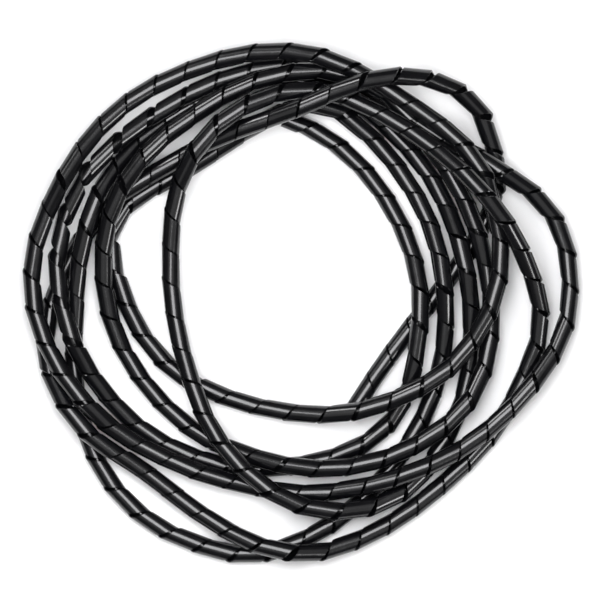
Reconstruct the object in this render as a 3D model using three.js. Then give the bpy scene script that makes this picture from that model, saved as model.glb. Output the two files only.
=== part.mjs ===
// Spiral cable wrap: one length of plastic spiral tube, thrown down as a loose coil of about
// eight turns. Millimetres, +Z up, and the coil lies on the plane z = 0.

import * as THREE from 'three';

// Driving dimensions of the tube
const OUTER_DIAMETER = 8;
const WALL_THICKNESS = 1;
const SECTION_SIDES = 8;

// How the tube lies
const CLEARANCE = 0.3;          // least space left between two strands that touch
const STEP_IN_DIAMETERS = 2;    // length of one straight stretch of the solid
const SAMPLES_PER_STEP = 8;     // places in each stretch where a crossing is looked for
const STRAND_STEPS_APART = 3;   // stretches closer along the tube than this are one strand
const LEAST_RISE_RADIUS = 200;  // tightest upward bend that the tube takes by its own weight
const SETTLING_ROUNDS = 400;    // passes of falling and lifting before the coil has settled
const STILL_ROUNDS = 40;        // last passes, in which nothing falls any more
const FIRST_FALL = 1;           // how far the tube falls in the first pass, less each time

// The photograph looks straight down on the coil, and the route is read off it by eye
const MM_PER_PIXEL = 0.45;
const PHOTO_CENTRE = [301.5, 302.5];

// Each row is a point of the centreline: across the photograph, down the photograph, and the
// place in the pile there. Where two strands meet, the one with the higher place lies on top.
const INNER_START = [
  [284, 118, 2], [328, 139, 2], [367, 174, 2], [395, 215, 2], [413, 258, 2], [420, 300, 2],
  [417, 343, 2], [408, 388, 2], [385, 427, 2], [338, 455, 2], [289, 466, 2], [240, 468, 2],
];
const SECOND_LAP = [
  [196, 457, 3], [152, 436, 3], [115, 404, 5], [84, 362, 5], [66, 318, 5], [58, 268, 5],
  [65, 222, 5], [86, 177, 5], [120, 141, 4], [160, 112, 3], [203, 88, 2], [250, 72, 2],
  [298, 65, 2], [350, 77, 2], [396, 110, 2], [436, 154, 3],
];
const THIRD_LAP = [
  [465, 202, 4], [483, 254, 5], [491, 310, 5], [485, 363, 5], [464, 406, 5], [428, 437, 5],
  [378, 460, 5], [325, 468, 5], [278, 463, 5], [240, 452, 5], [207, 438, 5], [173, 413, 5],
  [143, 380, 5], [120, 342, 5], [106, 294, 5], [105, 242, 5], [118, 197, 5], [148, 153, 6],
  [188, 120, 6], [233, 92, 6], [282, 75, 5], [333, 73, 4], [379, 91, 4], [423, 128, 4],
];
const FOURTH_LAP = [
  [467, 151, 5], [492, 166, 6], [543, 204, 7], [564, 244, 7], [569, 300, 7], [560, 339, 7],
  [535, 380, 7], [494, 424, 7], [450, 455, 7], [400, 476, 7], [354, 488, 7], [300, 493, 7],
  [253, 486, 6], [205, 474, 6], [160, 455, 6], [116, 430, 6], [76, 391, 6], [49, 348, 6],
  [34, 300, 6], [36, 248, 6], [61, 185, 6], [94, 135, 6], [137, 97, 6], [189, 71, 5],
  [245, 55, 6], [304, 54, 6], [358, 73, 6], [410, 105, 7], [452, 136, 7], [479, 168, 7],
];
const FIFTH_LAP = [
  [492, 205, 7], [500, 250, 7], [491, 305, 7], [453, 363, 7], [401, 396, 7], [342, 413, 7],
  [276, 410, 7], [219, 394, 5], [176, 371, 5], [142, 333, 3], [120, 284, 0], [112, 240, 0],
  [124, 209, 0], [158, 186, 0], [207, 157, 1], [250, 129, 3], [294, 109, 3], [331, 109, 3],
];
const SIXTH_LAP = [
  [373, 140, 3], [407, 182, 3], [432, 231, 3], [444, 290, 3], [443, 352, 3], [427, 408, 3],
  [397, 460, 3], [352, 508, 3], [304, 539, 2], [252, 554, 1], [199, 544, 1], [149, 520, 1],
  [108, 478, 1], [86, 432, 1], [75, 380, 2], [75, 320, 3], [80, 260, 3], [96, 202, 3],
  [126, 155, 2], [167, 121, 1], [218, 93, 1], [280, 80, 1], [340, 94, 1], [390, 130, 1],
];
const SEVENTH_LAP = [
  [434, 183, 2], [461, 249, 3], [471, 315, 4], [465, 390, 4], [443, 443, 4], [404, 490, 6],
  [354, 509, 8], [299, 504, 8], [250, 474, 8], [213, 430, 8], [188, 370, 8], [174, 308, 8],
  [171, 250, 8], [179, 188, 8], [208, 136, 8], [254, 103, 8], [304, 91, 7], [354, 102, 7],
  [402, 127, 8], [447, 159, 8],
];
const EIGHTH_LAP = [
  [492, 205, 8], [525, 260, 8], [540, 320, 5], [525, 374, 5], [492, 433, 5], [436, 490, 5],
  [376, 531, 5], [314, 552, 4], [255, 543, 4], [200, 513, 4], [144, 471, 4], [91, 435, 4],
  [60, 394, 3], [46, 350, 1], [55, 295, 1], [81, 241, 1], [117, 198, 1], [160, 170, 1],
  [203, 146, 2], [222, 137, 5], [250, 126, 6], [300, 108, 9],
];
const CORNER_LOOP = [
  [345, 89, 9], [391, 78, 9], [436, 82, 9], [474, 106, 8], [492, 147, 4], [496, 185, 1],
  [482, 227, 0], [448, 280, 0], [404, 336, 0], [371, 383, 0], [351, 414, 0],
];
const ROUTE = [
  ...INNER_START, ...SECOND_LAP, ...THIRD_LAP, ...FOURTH_LAP, ...FIFTH_LAP, ...SIXTH_LAP,
  ...SEVENTH_LAP, ...EIGHTH_LAP, ...CORNER_LOOP,
];

const BLACK_PLASTIC = new THREE.MeshStandardMaterial({
  name: 'extruded_polyethylene',
  color: 0x1b1c1f,
  roughness: 0.32,
  metalness: 0,
});

// A line of straight stretches whose cross-section never rolls, so that the side of the section
// that faces the ground does so all the way along.
class LyingLine extends THREE.Curve {
  constructor(points) {
    super();
    this.points = points;
  }

  getPoint(along) {
    const place = along * (this.points.length - 1);
    const index = Math.min(Math.floor(place), this.points.length - 2);
    return this.points[index].clone().lerp(this.points[index + 1], place - index);
  }

  getSpacedPoints() {
    return this.points;
  }

  computeFrenetFrames() {
    const up = new THREE.Vector3(0, 0, 1);
    const last = this.points.length - 1;
    const tangents = this.points.map((point, index) => {
      const before = this.points[Math.max(index - 1, 0)];
      const after = this.points[Math.min(index + 1, last)];
      return new THREE.Vector3().subVectors(after, before).normalize();
    });
    const normals = tangents.map((tangent) => up.clone().cross(tangent).normalize());
    const binormals = tangents.map((tangent, index) => tangent.clone().cross(normals[index]));
    return { tangents, normals, binormals };
  }
}

// The route on the ground: the ends of its straight stretches, and its place in the pile at
// each of them.
function layOutRoute(rows) {
  const corners = rows.map(([across, down]) => new THREE.Vector3(
    (across - PHOTO_CENTRE[0]) * MM_PER_PIXEL,
    (PHOTO_CENTRE[1] - down) * MM_PER_PIXEL,
    0,
  ));
  const plan = new THREE.CatmullRomCurve3(corners, false, 'centripetal');
  plan.arcLengthDivisions = rows.length * 20;
  const steps = Math.round(plan.getLength() / (STEP_IN_DIAMETERS * OUTER_DIAMETER));
  const points = [];
  const places = [];
  for (let step = 0; step <= steps; step += 1) {
    const along = plan.getUtoTmapping(step / steps);
    const row = Math.min(Math.floor(along * (rows.length - 1)), rows.length - 2);
    const part = along * (rows.length - 1) - row;
    points.push(plan.getPoint(along));
    places.push(THREE.MathUtils.lerp(rows[row][2], rows[row + 1][2], part));
  }
  return { points, places };
}

// Points close together along the route, each with the stretch that it is on.
function sampleRoute(points, places) {
  const samples = [];
  for (let step = 0; step < points.length - 1; step += 1) {
    for (let sample = 0; sample < SAMPLES_PER_STEP; sample += 1) {
      const part = sample / SAMPLES_PER_STEP;
      samples.push({
        step,
        part,
        point: points[step].clone().lerp(points[step + 1], part),
        place: THREE.MathUtils.lerp(places[step], places[step + 1], part),
      });
    }
  }
  return samples;
}

// How far above a strand's centre another one lies, when their centres are this far apart in
// plan: nothing where they lie side by side, and a full thickness where they cross.
function riseOver(distance) {
  const reach = OUTER_DIAMETER + CLEARANCE;
  return Math.min(reach, Math.SQRT2 * reach - distance);
}

// Every pair of samples of two strands where one lies over the other.
function findCrossings(samples) {
  const reach = OUTER_DIAMETER + CLEARANCE;
  const apart = STRAND_STEPS_APART * SAMPLES_PER_STEP;
  const crossings = [];
  samples.forEach((first, index) => {
    for (const second of samples.slice(index + apart)) {
      const distance = first.point.distanceTo(second.point);
      if (distance < reach) {
        const firstIsHigher = first.place > second.place;
        crossings.push({
          upper: firstIsHigher ? first : second,
          lower: firstIsHigher ? second : first,
          rise: riseOver(distance),
        });
      }
    }
  });
  return crossings;
}

// Lifts each stretch that lies on another strand, and lets the tube come down from there in a
// bend no tighter than it can take. Returns the height of each of the given points.
function settle(points, places) {
  const crossings = findCrossings(sampleRoute(points, places));
  const stepLength = points[0].distanceTo(points[1]);
  const sag = stepLength * stepLength / (2 * LEAST_RISE_RADIUS);
  const heights = points.map(() => OUTER_DIAMETER / 2);
  const heightAt = ({ step, part }) => THREE.MathUtils.lerp(heights[step], heights[step + 1], part);
  const ease = (index) => {
    const middle = (heights[index - 1] + heights[index + 1]) / 2;
    heights[index] = Math.max(heights[index], middle - sag);
  };
  for (let round = 0; round < SETTLING_ROUNDS; round += 1) {
    const fall = FIRST_FALL * Math.max(0, 1 - round / (SETTLING_ROUNDS - STILL_ROUNDS));
    heights.forEach((height, index) => {
      heights[index] = Math.max(OUTER_DIAMETER / 2, height - fall);
    });
    for (const { upper, lower, rise } of crossings) {
      const lift = heightAt(lower) + rise - heightAt(upper);
      if (lift > 0) {
        const share = lift / (upper.part ** 2 + (1 - upper.part) ** 2);
        heights[upper.step] += share * (1 - upper.part);
        heights[upper.step + 1] += share * upper.part;
      }
    }
    for (let index = 1; index < heights.length - 1; index += 1) {
      ease(index);
    }
    for (let index = heights.length - 2; index > 0; index -= 1) {
      ease(index);
    }
  }
  return heights;
}

// The wall of the tube as a flat ring with one side level.
function tubeSection() {
  const halfSide = Math.PI / SECTION_SIDES;
  const ring = (flatRadius) => {
    const corners = [];
    for (let side = 0; side < SECTION_SIDES; side += 1) {
      const angle = halfSide * (2 * side + 1);
      const radius = flatRadius / Math.cos(halfSide);
      corners.push(new THREE.Vector2(radius * Math.cos(angle), radius * Math.sin(angle)));
    }
    return corners;
  };
  const section = new THREE.Shape(ring(OUTER_DIAMETER / 2));
  section.holes.push(new THREE.Path(ring(OUTER_DIAMETER / 2 - WALL_THICKNESS)));
  return section;
}

function buildSpiralWrap() {
  const { points, places } = layOutRoute(ROUTE);
  const heights = settle(points, places);
  const centreline = points.map((point, index) => point.clone().setZ(heights[index]));
  const geometry = new THREE.ExtrudeGeometry(tubeSection(), {
    steps: centreline.length - 1,
    extrudePath: new LyingLine(centreline),
    curveSegments: 1,
  });
  geometry.computeBoundingBox();
  const middle = geometry.boundingBox.getCenter(new THREE.Vector3());
  geometry.translate(-middle.x, -middle.y, 0);
  const wrap = new THREE.Mesh(geometry, BLACK_PLASTIC);
  wrap.name = 'spiral_wrap';
  return wrap;
}

const coil = new THREE.Group();
coil.add(buildSpiralWrap());

export default coil;
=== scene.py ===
"""Spiral cable wrap: one length of black plastic tube, cut along a helix, in a loose coil.

The tube's route is read off the photograph, settled into a pile, and a Geometry Nodes tree
winds one flat strip along it. All sizes are in metres.
"""

import logging
import math
from dataclasses import dataclass, field
from enum import Enum
from typing import Any, Sequence

import bmesh
import bpy
import numpy as np
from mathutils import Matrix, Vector


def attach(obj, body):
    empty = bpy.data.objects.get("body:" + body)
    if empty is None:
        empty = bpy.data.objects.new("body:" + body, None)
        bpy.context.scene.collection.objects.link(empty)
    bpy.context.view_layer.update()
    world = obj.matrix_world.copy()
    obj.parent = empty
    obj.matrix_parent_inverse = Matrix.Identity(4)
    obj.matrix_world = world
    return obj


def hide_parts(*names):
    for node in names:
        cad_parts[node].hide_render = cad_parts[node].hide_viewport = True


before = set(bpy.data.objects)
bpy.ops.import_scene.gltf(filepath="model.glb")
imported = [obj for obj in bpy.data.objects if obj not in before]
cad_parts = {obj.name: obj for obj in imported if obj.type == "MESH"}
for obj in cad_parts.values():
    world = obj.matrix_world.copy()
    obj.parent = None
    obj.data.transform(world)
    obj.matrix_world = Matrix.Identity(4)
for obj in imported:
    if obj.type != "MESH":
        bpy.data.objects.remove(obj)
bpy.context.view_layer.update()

LOG = logging.getLogger("spiral_wrap")

# What a pixel of the photograph measures at the tube, the pixel about which the coil is laid
# out, and the photograph's own middle and width
METRES_PER_PIXEL = 0.00045
PHOTO_CENTRE = (301.5, 302.5)
PHOTO_MIDDLE_PIXEL = (300.0, 300.0)
PHOTO_WIDTH_PIXELS = 600.0

Row = tuple[float, float, float]

# Each row is a point of the centreline: across the photograph, down the photograph, and the
# place in the pile there. Where two strands meet, the one with the higher place lies on top.
INNER_START: list[Row] = [
    (284, 118, 2), (328, 139, 2), (367, 174, 2), (395, 215, 2), (413, 258, 2), (420, 300, 2),
    (417, 343, 2), (408, 388, 2), (385, 427, 2), (338, 455, 2), (289, 466, 2), (240, 468, 2),
]
SECOND_LAP: list[Row] = [
    (196, 457, 3), (152, 436, 3), (115, 404, 5), (84, 362, 5), (66, 318, 5), (58, 268, 5),
    (65, 222, 5), (86, 177, 5), (120, 141, 4), (160, 112, 3), (203, 88, 2), (250, 72, 2),
    (298, 65, 2), (350, 77, 2), (396, 110, 2), (436, 154, 3),
]
THIRD_LAP: list[Row] = [
    (465, 202, 4), (483, 254, 5), (491, 310, 5), (485, 363, 5), (464, 406, 5), (428, 437, 5),
    (378, 460, 5), (325, 468, 5), (278, 463, 5), (240, 452, 5), (207, 438, 5), (173, 413, 5),
    (143, 380, 5), (120, 342, 5), (106, 294, 5), (105, 242, 5), (118, 197, 5), (148, 153, 6),
    (188, 120, 6), (233, 92, 6), (282, 75, 5), (333, 73, 4), (379, 91, 4), (423, 128, 4),
]
FOURTH_LAP: list[Row] = [
    (467, 151, 5), (492, 166, 6), (543, 204, 7), (564, 244, 7), (569, 300, 7), (560, 339, 7),
    (535, 380, 7), (494, 424, 7), (450, 455, 7), (400, 476, 7), (354, 488, 7), (300, 493, 7),
    (253, 486, 6), (205, 474, 6), (160, 455, 6), (116, 430, 6), (76, 391, 6), (49, 348, 6),
    (34, 300, 6), (36, 248, 6), (61, 185, 6), (94, 135, 6), (137, 97, 6), (189, 71, 5),
    (245, 55, 6), (304, 54, 6), (358, 73, 6), (410, 105, 7), (452, 136, 7), (479, 168, 7),
]
FIFTH_LAP: list[Row] = [
    (492, 205, 7), (500, 250, 7), (491, 305, 7), (453, 363, 7), (401, 396, 7), (342, 413, 7),
    (276, 410, 7), (219, 394, 5), (176, 371, 5), (142, 333, 3), (120, 284, 0), (112, 240, 0),
    (124, 209, 0), (158, 186, 0), (207, 157, 1), (250, 129, 3), (294, 109, 3), (331, 109, 3),
]
SIXTH_LAP: list[Row] = [
    (373, 140, 3), (407, 182, 3), (432, 231, 3), (444, 290, 3), (443, 352, 3), (427, 408, 3),
    (397, 460, 3), (352, 508, 3), (304, 539, 2), (252, 554, 1), (199, 544, 1), (149, 520, 1),
    (108, 478, 1), (86, 432, 1), (75, 380, 2), (75, 320, 3), (80, 260, 3), (96, 202, 3),
    (126, 155, 2), (167, 121, 1), (218, 93, 1), (280, 80, 1), (340, 94, 1), (390, 130, 1),
]
SEVENTH_LAP: list[Row] = [
    (434, 183, 2), (461, 249, 3), (471, 315, 4), (465, 390, 4), (443, 443, 4), (404, 490, 6),
    (354, 509, 8), (299, 504, 8), (250, 474, 8), (213, 430, 8), (188, 370, 8), (174, 308, 8),
    (171, 250, 8), (179, 188, 8), (208, 136, 8), (254, 103, 8), (304, 91, 7), (354, 102, 7),
    (402, 127, 8), (447, 159, 8),
]
EIGHTH_LAP: list[Row] = [
    (492, 205, 8), (525, 260, 8), (540, 320, 5), (525, 374, 5), (492, 433, 5), (436, 490, 5),
    (376, 531, 5), (314, 552, 4), (255, 543, 4), (200, 513, 4), (144, 471, 4), (91, 435, 4),
    (60, 394, 3), (46, 350, 1), (55, 295, 1), (81, 241, 1), (117, 198, 1), (160, 170, 1),
    (203, 146, 2), (222, 137, 5), (250, 126, 6), (300, 108, 9),
]
CORNER_LOOP: list[Row] = [
    (345, 89, 9), (391, 78, 9), (436, 82, 9), (474, 106, 8), (492, 147, 4), (496, 185, 1),
    (482, 227, 0), (448, 280, 0), (404, 336, 0), (371, 383, 0), (351, 414, 0),
]
ROUTE_ROWS: list[Row] = [
    *INNER_START, *SECOND_LAP, *THIRD_LAP, *FOURTH_LAP, *FIFTH_LAP, *SIXTH_LAP,
    *SEVENTH_LAP, *EIGHTH_LAP, *CORNER_LOOP,
]

# The stretch of the second lap where the strip stands open, as rows of the route, and how far
# it opens there compared with the closed strip
OPENED_ROWS = (len(INNER_START) + 3, len(INNER_START) + 10)
MOST_OPENING = 1.31


class Handedness(Enum):
    """Which way the cut runs round the tube."""

    LEFT = -1.0
    RIGHT = 1.0


def linear(hex_colour: str) -> tuple[float, float, float, float]:
    """Turns an sRGB colour into the linear colour that a shader takes.

    Args:
        hex_colour: Six hexadecimal digits, such as "1b1c1f".

    Returns:
        Red, green, blue and an alpha of one.
    """
    channels = [int(hex_colour[place:place + 2], 16) / 255 for place in (0, 2, 4)]
    red, green, blue = (
        value / 12.92 if value <= 0.04045 else ((value + 0.055) / 1.055) ** 2.4
        for value in channels
    )
    return red, green, blue, 1.0


def add_node(
    tree: bpy.types.NodeTree,
    kind: str,
    settings: dict[str, Any] | None = None,
    inputs: dict[Any, Any] | None = None,
) -> bpy.types.Node:
    """Adds a node, sets it up, and links or fills its inputs.

    Args:
        tree: The tree that the node goes into.
        kind: The node's type name.
        settings: Attribute names of the node with their values.
        inputs: Socket names or numbers, each with a value or with the socket that feeds it.

    Returns:
        The new node.
    """
    node = tree.nodes.new(kind)
    for name, value in (settings or {}).items():
        setattr(node, name, value)
    for socket, value in (inputs or {}).items():
        if isinstance(value, bpy.types.NodeSocket):
            tree.links.new(value, node.inputs[socket])
        else:
            node.inputs[socket].default_value = value
    return node


@dataclass(frozen=True)
class WrapPlastic:
    """Black polyethylene, extruded as a tube that is then cut along a helix.

    Attributes:
        colour: The sRGB colour of the clean plastic.
        worn_colour: The sRGB colour where it is slightly rubbed.
        roughness: The middle of its roughness.
        roughness_spread: How far the roughness ranges from patch to patch.
        line_spacing: The distance between two die lines round the tube.
        line_detail: How fine the die lines go.
        line_depth: How deep they are.
        line_strength: How much of that depth the light shows.
        mottle_size: How broad the rubbed patches are.
        mottle_detail: How fine the patches go.
        mottle_range: The values of the noise that the roughness is spread over.
        refraction: The index of refraction.
    """

    # Soot in the plastic makes it nearly black all through. Its skin is smooth and a little waxy,
    # so each lamp shows on every turn as a bright patch with soft edges, and handling dulls it in
    # places.
    colour: str = "050506"
    worn_colour: str = "0d0d10"
    roughness: float = 0.2
    roughness_spread: float = 0.06
    # The die leaves lines along the tube about 0.1 mm apart. That is too fine for the render's
    # pixels, so they are drawn eight times as coarse.
    line_spacing: float = 0.0008
    line_detail: float = 3.0
    line_depth: float = 0.000006
    line_strength: float = 0.6
    mottle_size: float = 0.00625
    mottle_detail: float = 4.0
    mottle_range: tuple[float, float] = (0.3, 0.7)
    refraction: float = 1.5

    def material(self, tube_radius: float) -> bpy.types.Material:
        """Builds the shader.

        Args:
            tube_radius: The tube's radius, which is one unit of the die lines' pattern.

        Returns:
            The finished material.
        """
        material = bpy.data.materials.new("extruded polyethylene")
        material.use_nodes = True
        tree = material.node_tree
        shader = tree.nodes["Principled BSDF"]
        place = add_node(tree, "ShaderNodeAttribute", {"attribute_name": "tube_place"})
        lines = add_node(tree, "ShaderNodeTexNoise", inputs={
            "Vector": place.outputs["Vector"],
            "Scale": tube_radius / self.line_spacing,
            "Detail": self.line_detail,
        })
        coordinates = add_node(tree, "ShaderNodeTexCoord")
        mottle = add_node(tree, "ShaderNodeTexNoise", inputs={
            "Vector": coordinates.outputs["Object"],
            "Scale": 1 / self.mottle_size,
            "Detail": self.mottle_detail,
        })
        colour = add_node(tree, "ShaderNodeMix", {"data_type": "RGBA"}, {
            0: mottle.outputs["Fac"], 6: linear(self.colour), 7: linear(self.worn_colour),
        })
        gloss = add_node(tree, "ShaderNodeMapRange", inputs={
            "Value": mottle.outputs["Fac"],
            "From Min": self.mottle_range[0],
            "From Max": self.mottle_range[1],
            "To Min": self.roughness - self.roughness_spread / 2,
            "To Max": self.roughness + self.roughness_spread / 2,
        })
        relief = add_node(tree, "ShaderNodeBump", inputs={
            "Height": lines.outputs["Fac"],
            "Distance": self.line_depth,
            "Strength": self.line_strength,
        })
        tree.links.new(colour.outputs[2], shader.inputs["Base Color"])
        tree.links.new(gloss.outputs["Result"], shader.inputs["Roughness"])
        tree.links.new(relief.outputs["Normal"], shader.inputs["Normal"])
        shader.inputs["IOR"].default_value = self.refraction
        return material


@dataclass(frozen=True)
class FloorPaper:
    """Uncoated white background paper, rolled flat.

    Attributes:
        colour: Its sRGB colour.
        roughness: Its roughness.
        specular: How much light glances off it.
    """

    # Its fibres scatter the light evenly, so it shows as plain white with soft shadows and no
    # shine.
    colour: str = "f4f4f4"
    roughness: float = 0.9
    specular: float = 0.1

    def material(self) -> bpy.types.Material:
        """Builds the shader.

        Returns:
            The finished material.
        """
        material = bpy.data.materials.new("white background paper")
        material.use_nodes = True
        shader = material.node_tree.nodes["Principled BSDF"]
        shader.inputs["Base Color"].default_value = linear(self.colour)
        shader.inputs["Roughness"].default_value = self.roughness
        shader.inputs["Specular IOR Level"].default_value = self.specular
        return material


def spline_through(points: np.ndarray, pieces: int) -> tuple[np.ndarray, np.ndarray]:
    """Runs a centripetal Catmull-Rom curve through points.

    Args:
        points: One point in each row.
        pieces: How many short pieces each span between two points gets.

    Returns:
        The curve's points, and for each the row that it is at, as a fraction.
    """
    padded = np.vstack([2 * points[0] - points[1], points, 2 * points[-1] - points[-2]])
    spans = np.linalg.norm(np.diff(padded, axis=0), axis=1, keepdims=True) ** 0.5
    before, here, after, beyond = padded[:-3], padded[1:-2], padded[2:-1], padded[3:]
    first, middle, last = spans[:-2], spans[1:-1], spans[2:]
    leaving = (here - before) / first - (after - before) / (first + middle)
    leaving = (leaving + (after - here) / middle) * middle
    arriving = (after - here) / middle - (beyond - here) / (middle + last)
    arriving = (arriving + (beyond - after) / last) * middle
    part = (np.arange(pieces) / pieces)[None, :, None]
    here, after = here[:, None], after[:, None]
    leaving, arriving = leaving[:, None], arriving[:, None]
    curve = (
        (2 * here - 2 * after + leaving + arriving) * part ** 3
        + (3 * after - 3 * here - 2 * leaving - arriving) * part ** 2
        + leaving * part
        + here
    )
    rows = np.arange(len(points) - 1)[:, None] + part[0, :, 0]
    curve = np.vstack([curve.reshape(-1, points.shape[1]), points[-1]])
    return curve, np.append(rows.ravel(), len(points) - 1)


def lengths_along(points: np.ndarray) -> np.ndarray:
    """Measures how far along a line each of its points is.

    Args:
        points: The line's points, one in each row.

    Returns:
        The distance from the first point, for each point.
    """
    steps = np.linalg.norm(np.diff(points, axis=0), axis=1)
    return np.concatenate([[0.0], np.cumsum(steps)])


def sample(points: np.ndarray, along: np.ndarray, wanted: np.ndarray) -> np.ndarray:
    """Reads a line of values at given distances.

    Args:
        points: Values with one row for each distance in along.
        along: The distances that the rows stand for.
        wanted: The distances to read at.

    Returns:
        One row of values for each wanted distance.
    """
    return np.stack([np.interp(wanted, along, column) for column in points.T], axis=1)


@dataclass
class Pile:
    """The coil's centreline, laid out on the ground and settled strand on strand.

    Attributes:
        rows: The route in the photograph's pixels, with the place in the pile.
        diameter: The tube's outside diameter.
        clearance: The space between two strands that lie on each other.
        step_in_diameters: The length of each straight stretch, in tube diameters.
        samples_per_step: Places in each stretch where a crossing is looked for.
        strand_steps_apart: Stretches closer along the tube than this are one strand.
        least_rise_radius: The tightest upward bend that the tube takes by its own weight.
        settling_rounds: Passes of falling and lifting before the coil has settled.
        still_rounds: The last passes, in which nothing falls any more.
        first_fall: How far the tube falls in the first pass, less each time.
        pieces_between_rows: Short pieces of curve between two rows of the route.
        points: The settled ends of the stretches.
        shift: How far the route was moved on the ground to centre it.
        row_places: The row of the route that each point is at, as a fraction.
    """

    rows: Sequence[Row]
    diameter: float = 0.008
    clearance: float = 0.0003
    step_in_diameters: float = 2.0
    samples_per_step: int = 8
    strand_steps_apart: int = 3
    least_rise_radius: float = 0.2
    settling_rounds: int = 400
    still_rounds: int = 40
    first_fall: float = 0.001
    pieces_between_rows: int = 20
    points: np.ndarray = field(init=False)
    shift: np.ndarray = field(init=False)
    row_places: np.ndarray = field(init=False)

    def __post_init__(self) -> None:
        """Lays the route out, lifts it where it crosses itself, and centres it."""
        ground, places = self._lay_out()
        heights = self._settle(ground, places)
        self.shift = (ground.min(axis=0) + ground.max(axis=0)) / 2
        self.points = np.column_stack([ground - self.shift, heights])

    def _lay_out(self) -> tuple[np.ndarray, np.ndarray]:
        """Places the ends of the straight stretches on the ground.

        Returns:
            The points, and the place in the pile at each.
        """
        rows = np.array(self.rows, dtype=float)
        corners = (rows[:, :2] - PHOTO_CENTRE) * (METRES_PER_PIXEL, -METRES_PER_PIXEL)
        curve, at_row = spline_through(corners, self.pieces_between_rows)
        along = lengths_along(curve)
        steps = round(along[-1] / (self.step_in_diameters * self.diameter))
        wanted = np.linspace(0.0, along[-1], steps + 1)
        self.row_places = np.interp(wanted, along, at_row)
        places = np.interp(self.row_places, np.arange(len(rows)), rows[:, 2])
        return sample(curve, along, wanted), places

    def _settle(self, ground: np.ndarray, places: np.ndarray) -> np.ndarray:
        """Finds the height of each point from the strands that it lies on.

        Args:
            ground: The points on the ground.
            places: The place in the pile at each point.

        Returns:
            The height of the centreline at each point.
        """
        reach = self.diameter + self.clearance
        count = (len(ground) - 1) * self.samples_per_step
        at = np.arange(count) / self.samples_per_step
        numbers = np.arange(len(ground))
        spots = sample(ground, numbers, at)
        spot_places = np.interp(at, numbers, places)
        crossings = []
        for index in range(count):
            first_other = index + self.strand_steps_apart * self.samples_per_step
            distances = np.linalg.norm(spots[first_other:] - spots[index], axis=1)
            for offset in np.flatnonzero(distances < reach):
                other = first_other + int(offset)
                # This slope touches the round tube's own curve at 45 degrees and is nowhere
                # below it, so strands that lie partly side by side stay clear as well.
                rise = min(reach, math.sqrt(2) * reach - float(distances[offset]))
                upper, lower = index, other
                if spot_places[index] <= spot_places[other]:
                    upper, lower = other, index
                upper_place = divmod(upper, self.samples_per_step)
                lower_place = divmod(lower, self.samples_per_step)
                crossings.append((*upper_place, *lower_place, rise))
        return self._lift(crossings, len(ground), float(np.linalg.norm(ground[1] - ground[0])))

    def _lift(self, crossings: list[tuple], count: int, step_length: float) -> np.ndarray:
        """Lets the line fall and lifts it off the strands below until it lies still.

        Args:
            crossings: Stretch and sample of the upper and the lower strand, and the rise.
            count: How many points the line has.
            step_length: The distance between two points.

        Returns:
            The height of each point.
        """
        radius = self.diameter / 2
        sag = step_length ** 2 / (2 * self.least_rise_radius)
        heights = [radius] * count
        falling_rounds = self.settling_rounds - self.still_rounds
        for turn in range(self.settling_rounds):
            fall = self.first_fall * max(0.0, 1 - turn / falling_rounds)
            heights = [max(radius, height - fall) for height in heights]
            for upper, upper_sample, lower, lower_sample, rise in crossings:
                part = upper_sample / self.samples_per_step
                lower_part = lower_sample / self.samples_per_step
                top = heights[upper] * (1 - part) + heights[upper + 1] * part
                floor = heights[lower] * (1 - lower_part) + heights[lower + 1] * lower_part
                lift = floor + rise - top
                if lift > 0:
                    share = lift / (part ** 2 + (1 - part) ** 2)
                    heights[upper] += share * (1 - part)
                    heights[upper + 1] += share * part
            for index in [*range(1, count - 1), *range(count - 2, 0, -1)]:
                middle = (heights[index - 1] + heights[index + 1]) / 2
                heights[index] = max(heights[index], middle - sag)
        return np.array(heights)

    def smooth_line(self, pieces: int = 12) -> tuple[np.ndarray, np.ndarray]:
        """Rounds the line off between its points.

        Args:
            pieces: How many short pieces each stretch gets.

        Returns:
            The points, and the row of the route that each is at.
        """
        line, at_point = spline_through(self.points, pieces)
        line[:, 2] = np.maximum(line[:, 2], self.diameter / 2)
        return line, np.interp(at_point, np.arange(len(self.points)), self.row_places)

    def place_of_pixel(self, across: float, down: float) -> Vector:
        """Finds the spot on the ground that a pixel of the photograph shows.

        Args:
            across: Pixels from the photograph's left edge.
            down: Pixels from its top edge.

        Returns:
            The spot, at the height of the ground.
        """
        x = (across - PHOTO_CENTRE[0]) * METRES_PER_PIXEL - float(self.shift[0])
        y = (PHOTO_CENTRE[1] - down) * METRES_PER_PIXEL - float(self.shift[1])
        return Vector((x, y, 0.0))


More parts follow.
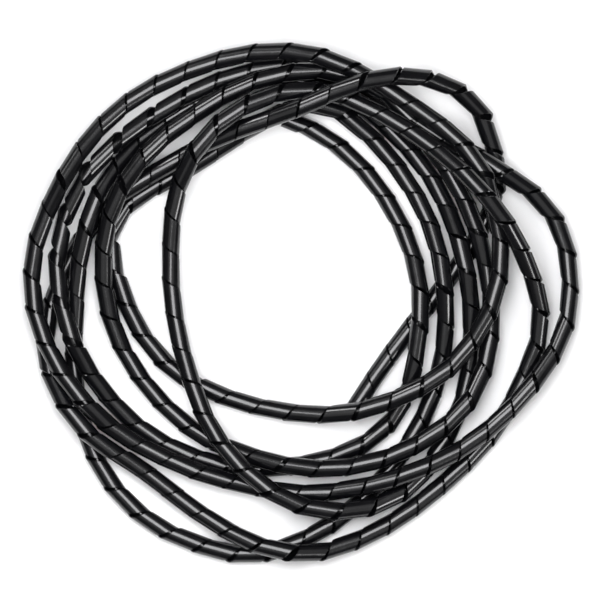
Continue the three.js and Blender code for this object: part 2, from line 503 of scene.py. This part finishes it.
@dataclass
class WoundStrip:
    """The strip that the cut leaves of the tube, wound along the pile's centreline.

    Attributes:
        pile: The settled coil.
        material: The strip's finish.
        wall: The thickness of the tube's wall.
        closed_pitch: How far a turn of the strip reaches where it lies closed.
        cut_width: The gap that the cut leaves between two turns.
        edge_radius: The rounding of the cut's edges.
        steps_per_turn: Flat steps that each turn is made of.
        top_turn: The part of a turn at which the strip passes over the top of the tube.
        bend_from: The part of a turn, under the tube, where the bend to the next one starts.
        bend_to: The part where it ends.
        chord_reach: Half the length that a turn's direction is measured over.
        turn_play: How far a turn can stand out sideways from its neighbours.
        play_steps: How quickly that play changes from turn to turn, as two waves.
        straightness: How straight each turn stays, from 0 for bent to 1 for straight.
        opening_spread: How evenly the opened stretch is open, lower for more evenly.
        bend_window: Points of the line that its bend is averaged over.
        grain_per_metre: Units of the die lines' pattern to a metre, few so that lines run long.
        merge_distance: Points closer than this become one.
        sharp_angle: Edges sharper than this are shaded as edges.
        handedness: Which way the cut runs round the tube.
    """

    pile: Pile
    material: bpy.types.Material
    wall: float = 0.001
    closed_pitch: float = 0.01485
    cut_width: float = 0.0005
    edge_radius: float = 0.00022
    steps_per_turn: int = 28
    top_turn: float = 0.25
    bend_from: float = 0.6
    bend_to: float = 0.9
    chord_reach: float = 0.004
    turn_play: float = 0.00012
    play_steps: tuple[float, float] = (2.4, 0.73)
    straightness: float = 0.6
    opening_spread: float = 0.6
    bend_window: int = 25
    grain_per_metre: float = 2.0
    merge_distance: float = 1e-6
    sharp_angle: float = math.radians(40)
    handedness: Handedness = Handedness.LEFT

    def _pitches(self, line: np.ndarray, at_row: np.ndarray, along: np.ndarray) -> np.ndarray:
        """Works out how far the strip advances in a turn, all along the line.

        Args:
            line: The centreline's points.
            at_row: The row of the route that each point is at.
            along: How far along the line each point is.

        Returns:
            The pitch at each point: closed on the inside of each bend, and wider where the
            strip stands open.
        """
        headings = np.unwrap(np.arctan2(*np.gradient(line[:, :2], axis=0).T[::-1]))
        bends = np.abs(np.gradient(headings, along))
        kernel = np.ones(self.bend_window) / self.bend_window
        bends = np.convolve(np.pad(bends, self.bend_window // 2, mode="edge"), kernel, mode="valid")
        first, last = OPENED_ROWS
        phase = np.clip((at_row - first) / (last - first), 0.0, 1.0)
        opening = 1 + (MOST_OPENING - 1) * np.sin(np.pi * phase) ** self.opening_spread
        return self.closed_pitch * opening / (1 - self.pile.diameter / 2 * bends)

    def _guide(self) -> tuple[bpy.types.Object, float]:
        """Makes the chain of points that the strip follows, one for each step round the tube.

        Returns:
            The chain's object, and the length of the tube.
        """
        line, at_row = self.pile.smooth_line()
        along = lengths_along(line)
        pitches = self._pitches(line, at_row, along)
        turns_made = np.diff(along) * 2 / (pitches[1:] + pitches[:-1])
        turns = np.concatenate([[0.0], np.cumsum(turns_made)])
        count = int(turns[-1] * self.steps_per_turn) + self.steps_per_turn
        wanted_turns = (np.arange(count) - self.steps_per_turn / 2) / self.steps_per_turn
        reach = np.interp(wanted_turns, turns, along)
        reach += np.minimum(wanted_turns, 0.0) * pitches[0]
        reach += np.maximum(wanted_turns - turns[-1], 0.0) * pitches[-1]
        turn_numbers = np.floor(wanted_turns + 1 - self.bend_to)
        blend = (wanted_turns - turn_numbers - self.bend_from) / (self.bend_to - self.bend_from)
        blend = np.clip(blend, 0.0, 1.0)[:, None]
        blend = blend * blend * (3 - 2 * blend)
        here = self._straight_turn(line, along, turns, turn_numbers, reach)
        following = self._straight_turn(line, along, turns, turn_numbers + 1, reach)
        spots = here * (1 - blend) + following * blend
        spots[:, 2] = np.clip(spots[:, 2], line[:, 2].min(), line[:, 2].max())
        mesh = bpy.data.meshes.new("strip_guide")
        mesh.from_pydata(spots.tolist(), [(index, index + 1) for index in range(count - 1)], [])
        mesh.attributes.new("reach", "FLOAT", "POINT").data.foreach_set("value", reach)
        guide = bpy.data.objects.new("spiral_wrap_strip", mesh)
        bpy.context.scene.collection.objects.link(guide)
        return guide, float(along[-1])

    def _straight_turn(
        self,
        line: np.ndarray,
        along: np.ndarray,
        turns: np.ndarray,
        turn_numbers: np.ndarray,
        reach: np.ndarray,
    ) -> np.ndarray:
        """Places points on nearly straight turns, since the tube bends most where it is cut.

        Args:
            line: The centreline's points.
            along: How far along the line each point is.
            turns: How many turns the strip has made at each point.
            turn_numbers: The turn that each wanted point belongs to.
            reach: How far along the line each wanted point is.

        Returns:
            The wanted points, each near the straight line of its turn.
        """
        middle = np.interp(turn_numbers + self.top_turn, turns, along)
        middle = np.clip(middle, self.chord_reach, along[-1] - self.chord_reach)
        chord = sample(line, along, middle + self.chord_reach)
        chord -= sample(line, along, middle - self.chord_reach)
        chord /= np.linalg.norm(chord, axis=1, keepdims=True)
        sideways = np.column_stack([-chord[:, 1], chord[:, 0], np.zeros(len(chord))])
        quick, slow = self.play_steps
        play = self.turn_play * np.sin(turn_numbers * quick) * np.sin(turn_numbers * slow + 1)
        spots = sample(line, along, middle) + chord * (reach - middle)[:, None]
        spots += sideways * play[:, None]
        end = np.clip(reach, self.chord_reach, along[-1] - self.chord_reach)
        bent = sample(line, along, end) + chord * (reach - end)[:, None]
        return spots * self.straightness + bent * (1 - self.straightness)

    def _winding_tree(self) -> bpy.types.NodeTree:
        """Builds the tree that sweeps a flat strip and winds it round the guide.

        Returns:
            The Geometry Nodes tree.
        """
        tree = bpy.data.node_groups.new("wind strip along guide", "GeometryNodeTree")
        sockets = tree.interface
        sockets.new_socket("Geometry", in_out="INPUT", socket_type="NodeSocketGeometry")
        for name in ("Tube Radius", "Wall", "Strip Width", "Edge Radius", "Tube Length", "Turn Step"):
            sockets.new_socket(name, in_out="INPUT", socket_type="NodeSocketFloat")
        sockets.new_socket("Material", in_out="INPUT", socket_type="NodeSocketMaterial")
        sockets.new_socket("Geometry", in_out="OUTPUT", socket_type="NodeSocketGeometry")
        given = add_node(tree, "NodeGroupInput").outputs

        def maths(operation: str, *values: Any) -> bpy.types.NodeSocket:
            """Adds a sum of numbers, such as ADD or MULTIPLY."""
            node = add_node(tree, "ShaderNodeMath", {"operation": operation}, dict(enumerate(values)))
            return node.outputs[0]

        def vectors(operation: str, *values: Any) -> bpy.types.NodeSocket:
            """Adds a sum of vectors, such as CROSS_PRODUCT."""
            settings = {"operation": operation}
            node = add_node(tree, "ShaderNodeVectorMath", settings, dict(enumerate(values)))
            return node.outputs[0]

        def scaled(vector: bpy.types.NodeSocket, factor: Any) -> bpy.types.NodeSocket:
            """Adds a vector times a number."""
            node = add_node(tree, "ShaderNodeVectorMath", {"operation": "SCALE"}, {
                0: vector, "Scale": factor,
            })
            return node.outputs[0]

        size = add_node(tree, "GeometryNodeAttributeDomainSize", {"component": "MESH"}, {
            0: given["Geometry"],
        })
        guide = add_node(tree, "GeometryNodeMeshToCurve", inputs={0: given["Geometry"]})
        flat_line = add_node(tree, "GeometryNodeMeshLine", inputs={
            "Count": size.outputs["Point Count"], "Offset": (1.0, 0.0, 0.0),
        })
        flat_curve = add_node(tree, "GeometryNodeMeshToCurve", inputs={0: flat_line.outputs[0]})
        outline = add_node(tree, "GeometryNodeCurvePrimitiveQuadrilateral", inputs={
            "Width": given["Strip Width"], "Height": given["Wall"],
        })
        rounded = add_node(tree, "GeometryNodeFilletCurve", inputs={
            "Curve": outline.outputs[0], "Radius": given["Edge Radius"],
        })
        flat_strip = add_node(tree, "GeometryNodeCurveToMesh", inputs={
            "Curve": flat_curve.outputs[0], "Profile Curve": rounded.outputs[0], "Fill Caps": True,
        })

        flat_place = add_node(tree, "ShaderNodeSeparateXYZ", inputs={
            0: add_node(tree, "GeometryNodeInputPosition").outputs[0],
        }).outputs
        step = maths("ROUND", flat_place["X"])

        def at_guide(kind: str, value: bpy.types.NodeSocket) -> bpy.types.NodeSocket:
            """Reads a value of the guide at the vertex's step."""
            node = add_node(tree, "GeometryNodeSampleIndex", {"data_type": kind, "domain": "POINT"}, {
                "Geometry": guide.outputs[0], "Value": value, "Index": step,
            })
            return node.outputs[0]

        reach_field = add_node(tree, "GeometryNodeInputNamedAttribute", {"data_type": "FLOAT"}, {
            "Name": "reach",
        })
        centre = at_guide("FLOAT_VECTOR", add_node(tree, "GeometryNodeInputPosition").outputs[0])
        tangent = at_guide("FLOAT_VECTOR", add_node(tree, "GeometryNodeInputTangent").outputs[0])
        reach = at_guide("FLOAT", reach_field.outputs[0])
        side = vectors("NORMALIZE", vectors("CROSS_PRODUCT", (0.0, 0.0, 1.0), tangent))
        top = vectors("CROSS_PRODUCT", tangent, side)
        angle = maths("MULTIPLY", step, given["Turn Step"])
        outward = vectors(
            "ADD", scaled(side, maths("COSINE", angle)), scaled(top, maths("SINE", angle)),
        )
        mid_wall = maths("SUBTRACT", given["Tube Radius"], maths("MULTIPLY", given["Wall"], 0.5))
        out = maths("ADD", mid_wall, flat_place["Z"])
        wanted_reach = maths("ADD", reach, flat_place["Y"])
        cut_reach = maths("MAXIMUM", maths("MINIMUM", wanted_reach, given["Tube Length"]), 0.0)
        across = maths("SUBTRACT", cut_reach, reach)
        place = vectors("ADD", vectors("ADD", centre, scaled(tangent, across)), scaled(outward, out))
        tube_place = add_node(tree, "ShaderNodeCombineXYZ", inputs={
            0: maths("COSINE", angle),
            1: maths("SINE", angle),
            2: maths("MULTIPLY", cut_reach, self.grain_per_metre),
        })
        marked = add_node(tree, "GeometryNodeStoreNamedAttribute", {
            "data_type": "FLOAT_VECTOR", "domain": "POINT",
        }, {"Geometry": flat_strip.outputs[0], "Name": "tube_place", "Value": tube_place.outputs[0]})
        wound = add_node(tree, "GeometryNodeSetPosition", inputs={
            "Geometry": marked.outputs[0], "Position": place,
        })
        real = add_node(tree, "GeometryNodeRealizeInstances", inputs={0: wound.outputs[0]})
        finished = add_node(tree, "GeometryNodeSetMaterial", inputs={
            "Geometry": real.outputs[0], "Material": given["Material"],
        })
        add_node(tree, "NodeGroupOutput", inputs={0: finished.outputs[0]})
        return tree

    def build(self) -> bpy.types.Object:
        """Winds the strip and turns it into a plain mesh.

        Returns:
            The strip's object.
        """
        strip, tube_length = self._guide()
        tree = self._winding_tree()
        modifier = strip.modifiers.new("wound strip", "NODES")
        modifier.node_group = tree
        turn_step = self.handedness.value * 2 * math.pi / self.steps_per_turn
        values = {
            "Tube Radius": self.pile.diameter / 2,
            "Wall": self.wall,
            "Strip Width": self.closed_pitch - self.cut_width,
            "Edge Radius": self.edge_radius,
            "Tube Length": tube_length,
            "Turn Step": turn_step,
            "Material": self.material,
        }
        for item in tree.interface.items_tree:
            if item.in_out == "INPUT" and item.name in values:
                modifier[item.identifier] = values[item.name]
        evaluated = strip.evaluated_get(bpy.context.evaluated_depsgraph_get())
        mesh = bpy.data.meshes.new_from_object(evaluated)
        strip.modifiers.clear()
        strip.data = mesh
        self._tidy(mesh)
        return strip

    def _tidy(self, mesh: bpy.types.Mesh) -> None:
        """Merges the points where the strip runs out, turns its faces outwards, and rests it.

        Args:
            mesh: The strip's mesh.
        """
        work = bmesh.new()
        work.from_mesh(mesh)
        bmesh.ops.remove_doubles(work, verts=work.verts, dist=self.merge_distance)
        bmesh.ops.dissolve_degenerate(work, edges=work.edges, dist=self.merge_distance / 10)
        bmesh.ops.recalc_face_normals(work, faces=work.faces)
        for face in work.faces:
            face.smooth = True
        for vertex in work.verts:
            vertex.co.z = max(vertex.co.z, 0.0)
        work.to_mesh(mesh)
        work.free()
        mesh.set_sharp_from_angle(angle=self.sharp_angle)
        mesh.materials.clear()
        mesh.materials.append(self.material)


@dataclass
class Studio:
    """The camera straight above the coil, the paper that it lies on, and the lights.

    Attributes:
        pile: The settled coil.
        camera_height: How high the camera hangs.
        floor_size: The length of the paper's sides.
        room_colour: The sRGB colour of the room around the soft boxes.
        room_brightness: How bright that room is.
    """

    pile: Pile
    camera_height: float = 6.0
    floor_size: float = 3.0
    room_colour: str = "ffffff"
    room_brightness: float = 0.1

    def camera(self) -> None:
        """Makes the camera that sees what the photograph shows."""
        data = bpy.data.cameras.new("camera")
        view_width = PHOTO_WIDTH_PIXELS * METRES_PER_PIXEL
        mid_height = self.pile.diameter
        data.lens = data.sensor_width * (self.camera_height - mid_height) / view_width
        camera = bpy.data.objects.new("camera", data)
        camera.location = self.pile.place_of_pixel(*PHOTO_MIDDLE_PIXEL)
        camera.location.z = self.camera_height
        bpy.context.scene.collection.objects.link(camera)
        bpy.context.scene.camera = camera

    def floor(self, material: bpy.types.Material) -> None:
        """Lays the paper.

        Args:
            material: The paper's finish.
        """
        half = self.floor_size / 2
        corners = [(-half, -half, 0.0), (half, -half, 0.0), (half, half, 0.0), (-half, half, 0.0)]
        mesh = bpy.data.meshes.new("floor")
        mesh.from_pydata(corners, [], [(0, 1, 2, 3)])
        mesh.materials.append(material)
        floor = bpy.data.objects.new("floor", mesh)
        bpy.context.scene.collection.objects.link(floor)

    def soft_box(
        self,
        name: str,
        place: tuple[float, float, float],
        size: tuple[float, float],
        power: float,
        colour: str = "ffffff",
    ) -> None:
        """Hangs a rectangular light that faces the coil.

        Args:
            name: The light's name.
            place: Where its middle is.
            size: Its two sides.
            power: Its power in watts.
            colour: Its sRGB colour.
        """
        data = bpy.data.lights.new(name, "AREA")
        data.shape = "RECTANGLE"
        data.size, data.size_y = size
        data.energy = power
        data.color = linear(colour)[:3]
        light = bpy.data.objects.new(name, data)
        light.location = place
        light.rotation_mode = "QUATERNION"
        light.rotation_quaternion = (-Vector(place)).to_track_quat("-Z", "Y")
        bpy.context.scene.collection.objects.link(light)

    def lights(self) -> None:
        """Hangs the soft boxes, and dims the room around them."""
        self.soft_box(
            "key", place=(-0.07, 0.1, 1.0), size=(0.56, 0.56), power=10.5, colour="fdfdff",
        )
        self.soft_box("overhead", place=(0.0, 0.0, 1.1), size=(1.7, 1.7), power=5.5)
        self.soft_box("side", place=(-1.0, 1.1, 1.1), size=(0.4, 0.4), power=9.0)
        self.soft_box("low side", place=(1.1, -0.8, 0.9), size=(0.4, 0.4), power=8.0)
        world = bpy.data.worlds.new("room")
        world.use_nodes = True
        background = world.node_tree.nodes["Background"]
        background.inputs["Color"].default_value = linear(self.room_colour)
        background.inputs["Strength"].default_value = self.room_brightness
        bpy.context.scene.world = world
        bpy.context.scene.view_settings.view_transform = "Standard"


def main() -> None:
    """Builds the coil and the studio, and hands the scene over."""
    logging.basicConfig(level=logging.INFO)
    pile = Pile(ROUTE_ROWS)
    studio = Studio(pile)
    studio.camera()
    LOG.info("centreline settled, highest point %.1f mm", 1000 * pile.points[:, 2].max())
    strip = WoundStrip(pile, WrapPlastic().material(pile.diameter / 2)).build()
    LOG.info("%s wound, %d faces", strip.name, len(strip.data.polygons))
    line, _ = pile.smooth_line(pieces=4)
    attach(strip, "root")
    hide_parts("spiral_wrap")
    studio.floor(FloorPaper().material())
    studio.lights()


if __name__ == "__main__":
    main()
